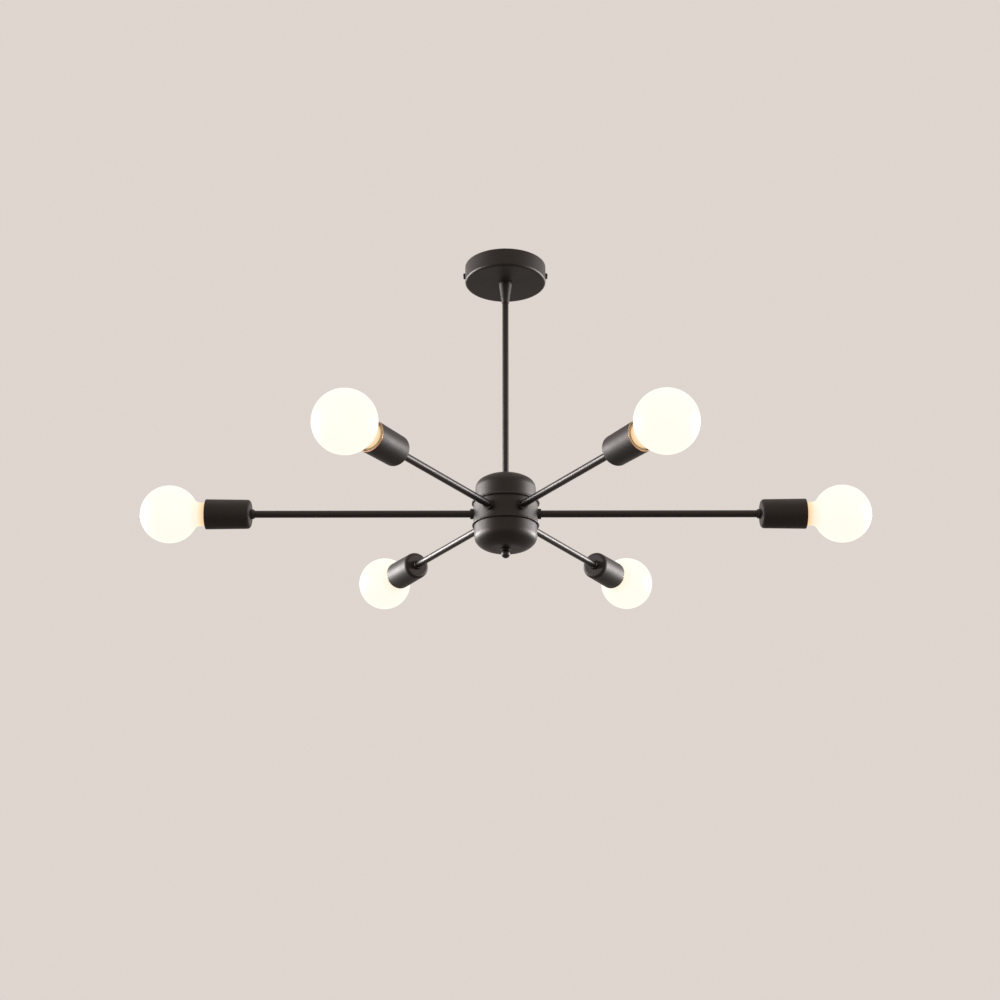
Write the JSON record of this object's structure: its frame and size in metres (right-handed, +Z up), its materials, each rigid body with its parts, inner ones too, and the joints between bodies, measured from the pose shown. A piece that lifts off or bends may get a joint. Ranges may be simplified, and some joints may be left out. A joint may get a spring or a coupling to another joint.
{
  "type": "ceiling light",
  "caption": "Ceiling light with a round canopy, a straight rod, a drum-shaped hub and level radial arms, each ending in a socket cup with an opal globe bulb.",
  "frame": {"origin": "centre of the mounting bracket, on the ceiling plane", "axes": "+Z up into the ceiling; X along the two long arms; Y square to them in the arm plane"},
  "size_m": [1.01, 0.7416, 0.446],
  "materials": {
    "black_satin": "satin black powder coat, slightly warm",
    "opal_glass": "opal white glass, lit warm white from inside",
    "nickel_cap": "nickel-plated screw cap",
    "contact_brass": "bare brass",
    "porcelain": "cream glazed porcelain",
    "zinc_steel": "zinc-plated steel",
    "lead_sleeve": "insulated copper leads",
    "connector_orange": "moulded twist-on connector",
    "terminal_plastic": "white moulded terminal block"
  },
  "bodies": {
    "root": {"socket_cup_1": "black_satin", "lampholder_1": "porcelain", "arm_tube_1": "black_satin", "socket_cup_2": "black_satin", "lampholder_2": "porcelain", "arm_tube_2": "black_satin", "socket_cup_3": "black_satin", "lampholder_3": "porcelain", "arm_tube_3": "black_satin", "socket_cup_4": "black_satin", "lampholder_4": "porcelain", "arm_tube_4": "black_satin", "socket_cup_5": "black_satin", "lampholder_5": "porcelain", "arm_tube_5": "black_satin", "socket_cup_6": "black_satin", "lampholder_6": "porcelain", "arm_tube_6": "black_satin", "arm_collars": "black_satin", "socket_nuts": "black_satin", "hub_top_cap": "black_satin", "hub_body": "black_satin", "downrod": "black_satin", "canopy_collar": "black_satin", "canopy": "black_satin", "canopy_side_screws": "black_satin", "arm_hub_nuts": "zinc_steel", "hub_clamp_nuts": "zinc_steel", "hub_bridge": "zinc_steel", "bridge_screws": "zinc_steel", "finial_stud": "zinc_steel", "canopy_locknut": "zinc_steel", "ceiling_bracket": "zinc_steel", "block_and_earth_screws": "zinc_steel", "screw_shells": "contact_brass", "centre_contacts": "contact_brass", "arm_leads": "lead_sleeve", "supply_leads": "lead_sleeve", "wire_connectors": "connector_orange", "terminal_block": "terminal_plastic"},
    "bulb_1_seat": {"bulb_1_contact": "contact_brass"},
    "bulb_1": {"bulb_1_globe": "opal_glass", "bulb_1_screw_cap": "nickel_cap"},
    "bulb_2_seat": {"bulb_2_contact": "contact_brass"},
    "bulb_2": {"bulb_2_globe": "opal_glass", "bulb_2_screw_cap": "nickel_cap"},
    "bulb_3_seat": {"bulb_3_contact": "contact_brass"},
    "bulb_3": {"bulb_3_globe": "opal_glass", "bulb_3_screw_cap": "nickel_cap"},
    "bulb_4_seat": {"bulb_4_contact": "contact_brass"},
    "bulb_4": {"bulb_4_globe": "opal_glass", "bulb_4_screw_cap": "nickel_cap"},
    "bulb_5_seat": {"bulb_5_contact": "contact_brass"},
    "bulb_5": {"bulb_5_globe": "opal_glass", "bulb_5_screw_cap": "nickel_cap"},
    "bulb_6_seat": {"bulb_6_contact": "contact_brass"},
    "bulb_6": {"bulb_6_globe": "opal_glass", "bulb_6_screw_cap": "nickel_cap"},
    "lower_cap": {"hub_bottom_cap": "black_satin"},
    "finial": {"finial": "black_satin"}
  },
  "joints": [
    {"name": "bulb_1_travel", "type": "slide", "parent": "root", "child": "bulb_1_seat", "axis": [1, 0, 0], "range_m": [0, 0.02]},
    {"name": "bulb_1_turn", "type": "hinge", "parent": "bulb_1_seat", "child": "bulb_1", "pos_m": [0.465, 0, -0.382], "axis": [1, 0, 0], "range_deg": [0, 1980]},
    {"name": "bulb_2_travel", "type": "slide", "parent": "root", "child": "bulb_2_seat", "axis": [0.5, 0.866, 0], "range_m": [0, 0.02]},
    {"name": "bulb_2_turn", "type": "hinge", "parent": "bulb_2_seat", "child": "bulb_2", "pos_m": [0.191, 0.33082, -0.382], "axis": [0.5, 0.866, 0], "range_deg": [0, 1980]},
    {"name": "bulb_3_travel", "type": "slide", "parent": "root", "child": "bulb_3_seat", "axis": [-0.5, 0.866, 0], "range_m": [0, 0.02]},
    {"name": "bulb_3_turn", "type": "hinge", "parent": "bulb_3_seat", "child": "bulb_3", "pos_m": [-0.191, 0.33082, -0.382], "axis": [-0.5, 0.866, 0], "range_deg": [0, 1980]},
    {"name": "bulb_4_travel", "type": "slide", "parent": "root", "child": "bulb_4_seat", "axis": [-1, 0, 0], "range_m": [0, 0.02]},
    {"name": "bulb_4_turn", "type": "hinge", "parent": "bulb_4_seat", "child": "bulb_4", "pos_m": [-0.465, 0, -0.382], "axis": [-1, 0, 0], "range_deg": [0, 1980]},
    {"name": "bulb_5_travel", "type": "slide", "parent": "root", "child": "bulb_5_seat", "axis": [-0.5, -0.866, 0], "range_m": [0, 0.02]},
    {"name": "bulb_5_turn", "type": "hinge", "parent": "bulb_5_seat", "child": "bulb_5", "pos_m": [-0.191, -0.33082, -0.382], "axis": [-0.5, -0.866, 0], "range_deg": [0, 1980]},
    {"name": "bulb_6_travel", "type": "slide", "parent": "root", "child": "bulb_6_seat", "axis": [0.5, -0.866, 0], "range_m": [0, 0.02]},
    {"name": "bulb_6_turn", "type": "hinge", "parent": "bulb_6_seat", "child": "bulb_6", "pos_m": [0.191, -0.33082, -0.382], "axis": [0.5, -0.866, 0], "range_deg": [0, 1980]},
    {"name": "lower_cap_travel", "type": "slide", "parent": "root", "child": "lower_cap", "axis": [0, 0, -1], "range_m": [0, 0.009]},
    {"name": "finial_turn", "type": "hinge", "parent": "lower_cap", "child": "finial", "pos_m": [0, 0, -0.44], "axis": [0, 0, -1], "range_deg": [0, 3240]}
  ],
  "couplings": [
    {"joint": "bulb_1_travel", "follows": "bulb_1_turn", "m_per_rad": 0.00057773},
    {"joint": "bulb_2_travel", "follows": "bulb_2_turn", "m_per_rad": 0.00057773},
    {"joint": "bulb_3_travel", "follows": "bulb_3_turn", "m_per_rad": 0.00057773},
    {"joint": "bulb_4_travel", "follows": "bulb_4_turn", "m_per_rad": 0.00057773},
    {"joint": "bulb_5_travel", "follows": "bulb_5_turn", "m_per_rad": 0.00057773},
    {"joint": "bulb_6_travel", "follows": "bulb_6_turn", "m_per_rad": 0.00057773},
    {"joint": "finial_turn", "follows": "lower_cap_travel", "rad_per_m": 6283.2}
  ]
}
